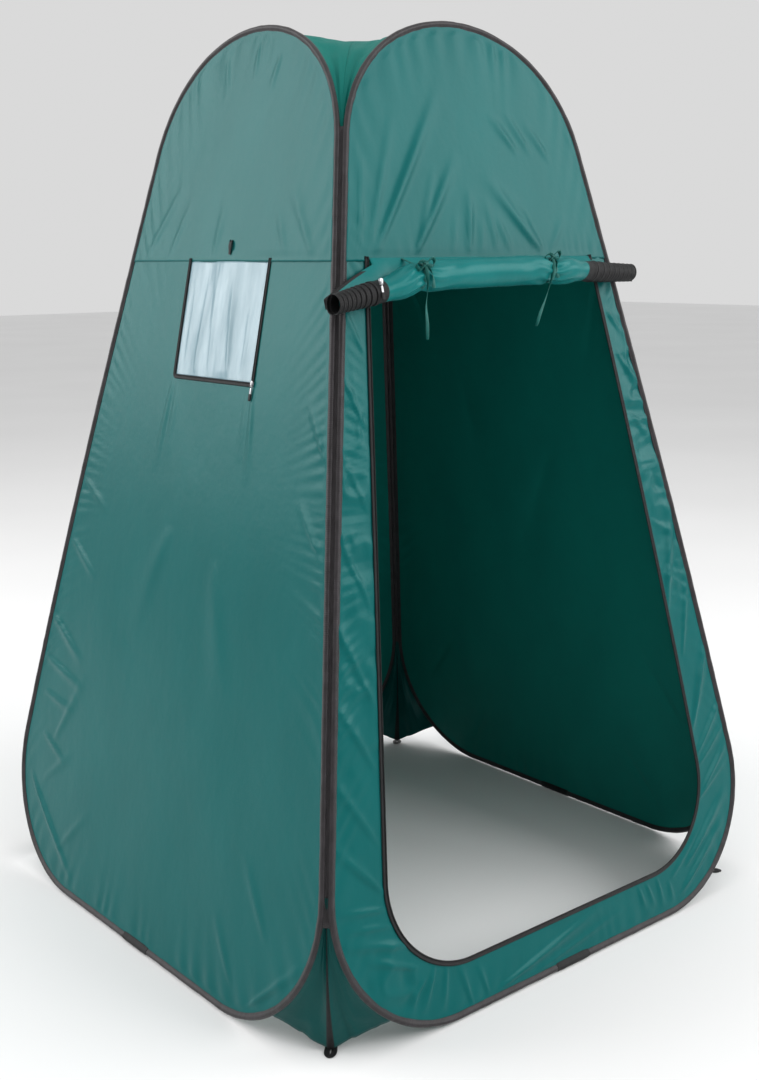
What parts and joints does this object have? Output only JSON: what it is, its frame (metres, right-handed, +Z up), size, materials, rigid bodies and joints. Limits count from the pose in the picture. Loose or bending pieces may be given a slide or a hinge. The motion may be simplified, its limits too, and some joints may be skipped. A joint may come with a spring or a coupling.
{
  "type": "privacy shower tent",
  "caption": "Tall pop-up privacy shower tent: leaning spring-hoop walls hinged at corner seams, rolled-up doorway with ties, window flap, roof, corner gussets and peg loops.",
  "frame": {"origin": "on the ground at the middle of the footprint", "axes": "+Z up; the doorway faces -Y and the window -X"},
  "size_m": [1.3246, 1.3246, 1.9],
  "materials": {
    "cloth": "satin",
    "roof_cloth": "satin",
    "binding": "matte",
    "spring_steel": "satin",
    "ferrule": "satin",
    "webbing": "matte",
    "zip_tape": "matte",
    "tie_tape": "satin",
    "window_film": "gloss",
    "zip_metal": "polished"
  },
  "bodies": {
    "front": {"header_front": "cloth", "wall_front": "cloth", "sleeve_front": "binding", "hoop_wire_front": "spring_steel", "wire_ferrule_front": "ferrule", "foot_patch_front": "webbing", "roof_front": "roof_cloth", "seam_cord_front_left": "binding", "gusset_front_left": "cloth", "peg_loop_front_left": "webbing", "seam_cord_front_right": "binding", "gusset_front_right": "cloth", "peg_loop_front_right": "webbing", "door_zip_tape": "zip_tape", "door_tie_left": "tie_tape", "door_tie_right": "tie_tape"},
    "left": {"header_left": "cloth", "wall_left": "cloth", "sleeve_left": "binding", "hoop_wire_left": "spring_steel", "wire_ferrule_left": "ferrule", "foot_patch_left": "webbing", "roof_left": "roof_cloth", "seam_cord_back_left": "binding", "gusset_back_left": "cloth", "peg_loop_back_left": "webbing", "window_zip_tape": "zip_tape", "window_tie": "tie_tape"},
    "right": {"header_right": "cloth", "wall_right": "cloth", "sleeve_right": "binding", "hoop_wire_right": "spring_steel", "wire_ferrule_right": "ferrule", "foot_patch_right": "webbing", "roof_right": "roof_cloth", "seam_cord_back_right": "binding", "gusset_back_right": "cloth", "peg_loop_back_right": "webbing"},
    "back": {"header_back": "cloth", "wall_back": "cloth", "sleeve_back": "binding", "hoop_wire_back": "spring_steel", "wire_ferrule_back": "ferrule", "foot_patch_back": "webbing", "roof_back": "roof_cloth"},
    "door": {"door_roll": "cloth", "roll_zip_left": "zip_tape", "roll_zip_right": "zip_tape", "door_slider": "zip_metal"},
    "door_pull": {"door_pull": "zip_metal"},
    "window": {"window_film": "window_film"},
    "window_slider": {"window_slider": "zip_metal"},
    "window_pull": {"window_pull": "zip_metal"}
  },
  "joints": [
    {"name": "fold_left", "type": "hinge", "parent": "front", "child": "left", "pos_m": [-0.46833, -0.46833, 0.9], "axis": [-0.1915, -0.1915, -0.9626], "range_deg": [0, 86], "deforming": ["roof_left", "roof_front", "gusset_front_left", "peg_loop_back_left"]},
    {"name": "fold_right", "type": "hinge", "parent": "front", "child": "right", "pos_m": [0.46833, -0.46833, 0.9], "axis": [0.1915, -0.1915, -0.9626], "range_deg": [0, 79], "deforming": ["roof_right", "gusset_front_right"]},
    {"name": "fold_back", "type": "hinge", "parent": "left", "child": "back", "pos_m": [-0.46833, 0.46833, 0.9], "axis": [0.1915, -0.1915, 0.9626], "range_deg": [0, 86.5], "deforming": ["roof_back", "gusset_back_left", "gusset_back_right", "seam_cord_back_right"]},
    {"name": "door_unroll", "type": "slide", "parent": "front", "child": "door", "axis": [0, -0.1951, -0.9808], "range_m": [0, 1.28], "deforming": ["door_tie_left", "door_tie_right"]},
    {"name": "door_pull_swing", "type": "hinge", "parent": "door", "child": "door_pull", "pos_m": [-0.33, -0.44449, 1.40197], "axis": [-1, 0, 0], "range_deg": [0, 95]},
    {"name": "window_flap", "type": "hinge", "parent": "left", "child": "window", "pos_m": [-0.3689, -0.02, 1.43832], "axis": [0, 1, 0], "range_deg": [0, 115]},
    {"name": "window_zip", "type": "slide", "parent": "left", "child": "window_slider", "axis": [0.1951, 0, 0.9808], "range_m": [0, 0.21]},
    {"name": "window_pull_swing", "type": "hinge", "parent": "window_slider", "child": "window_pull", "pos_m": [-0.42236, -0.162, 1.19008], "axis": [0, 1, 0], "range_deg": [0, 95]}
  ],
  "couplings": [
    {"joint": "fold_right", "follows": "fold_left", "ratio": 0.915},
    {"joint": "fold_back", "follows": "fold_left", "ratio": 1}
  ]
}
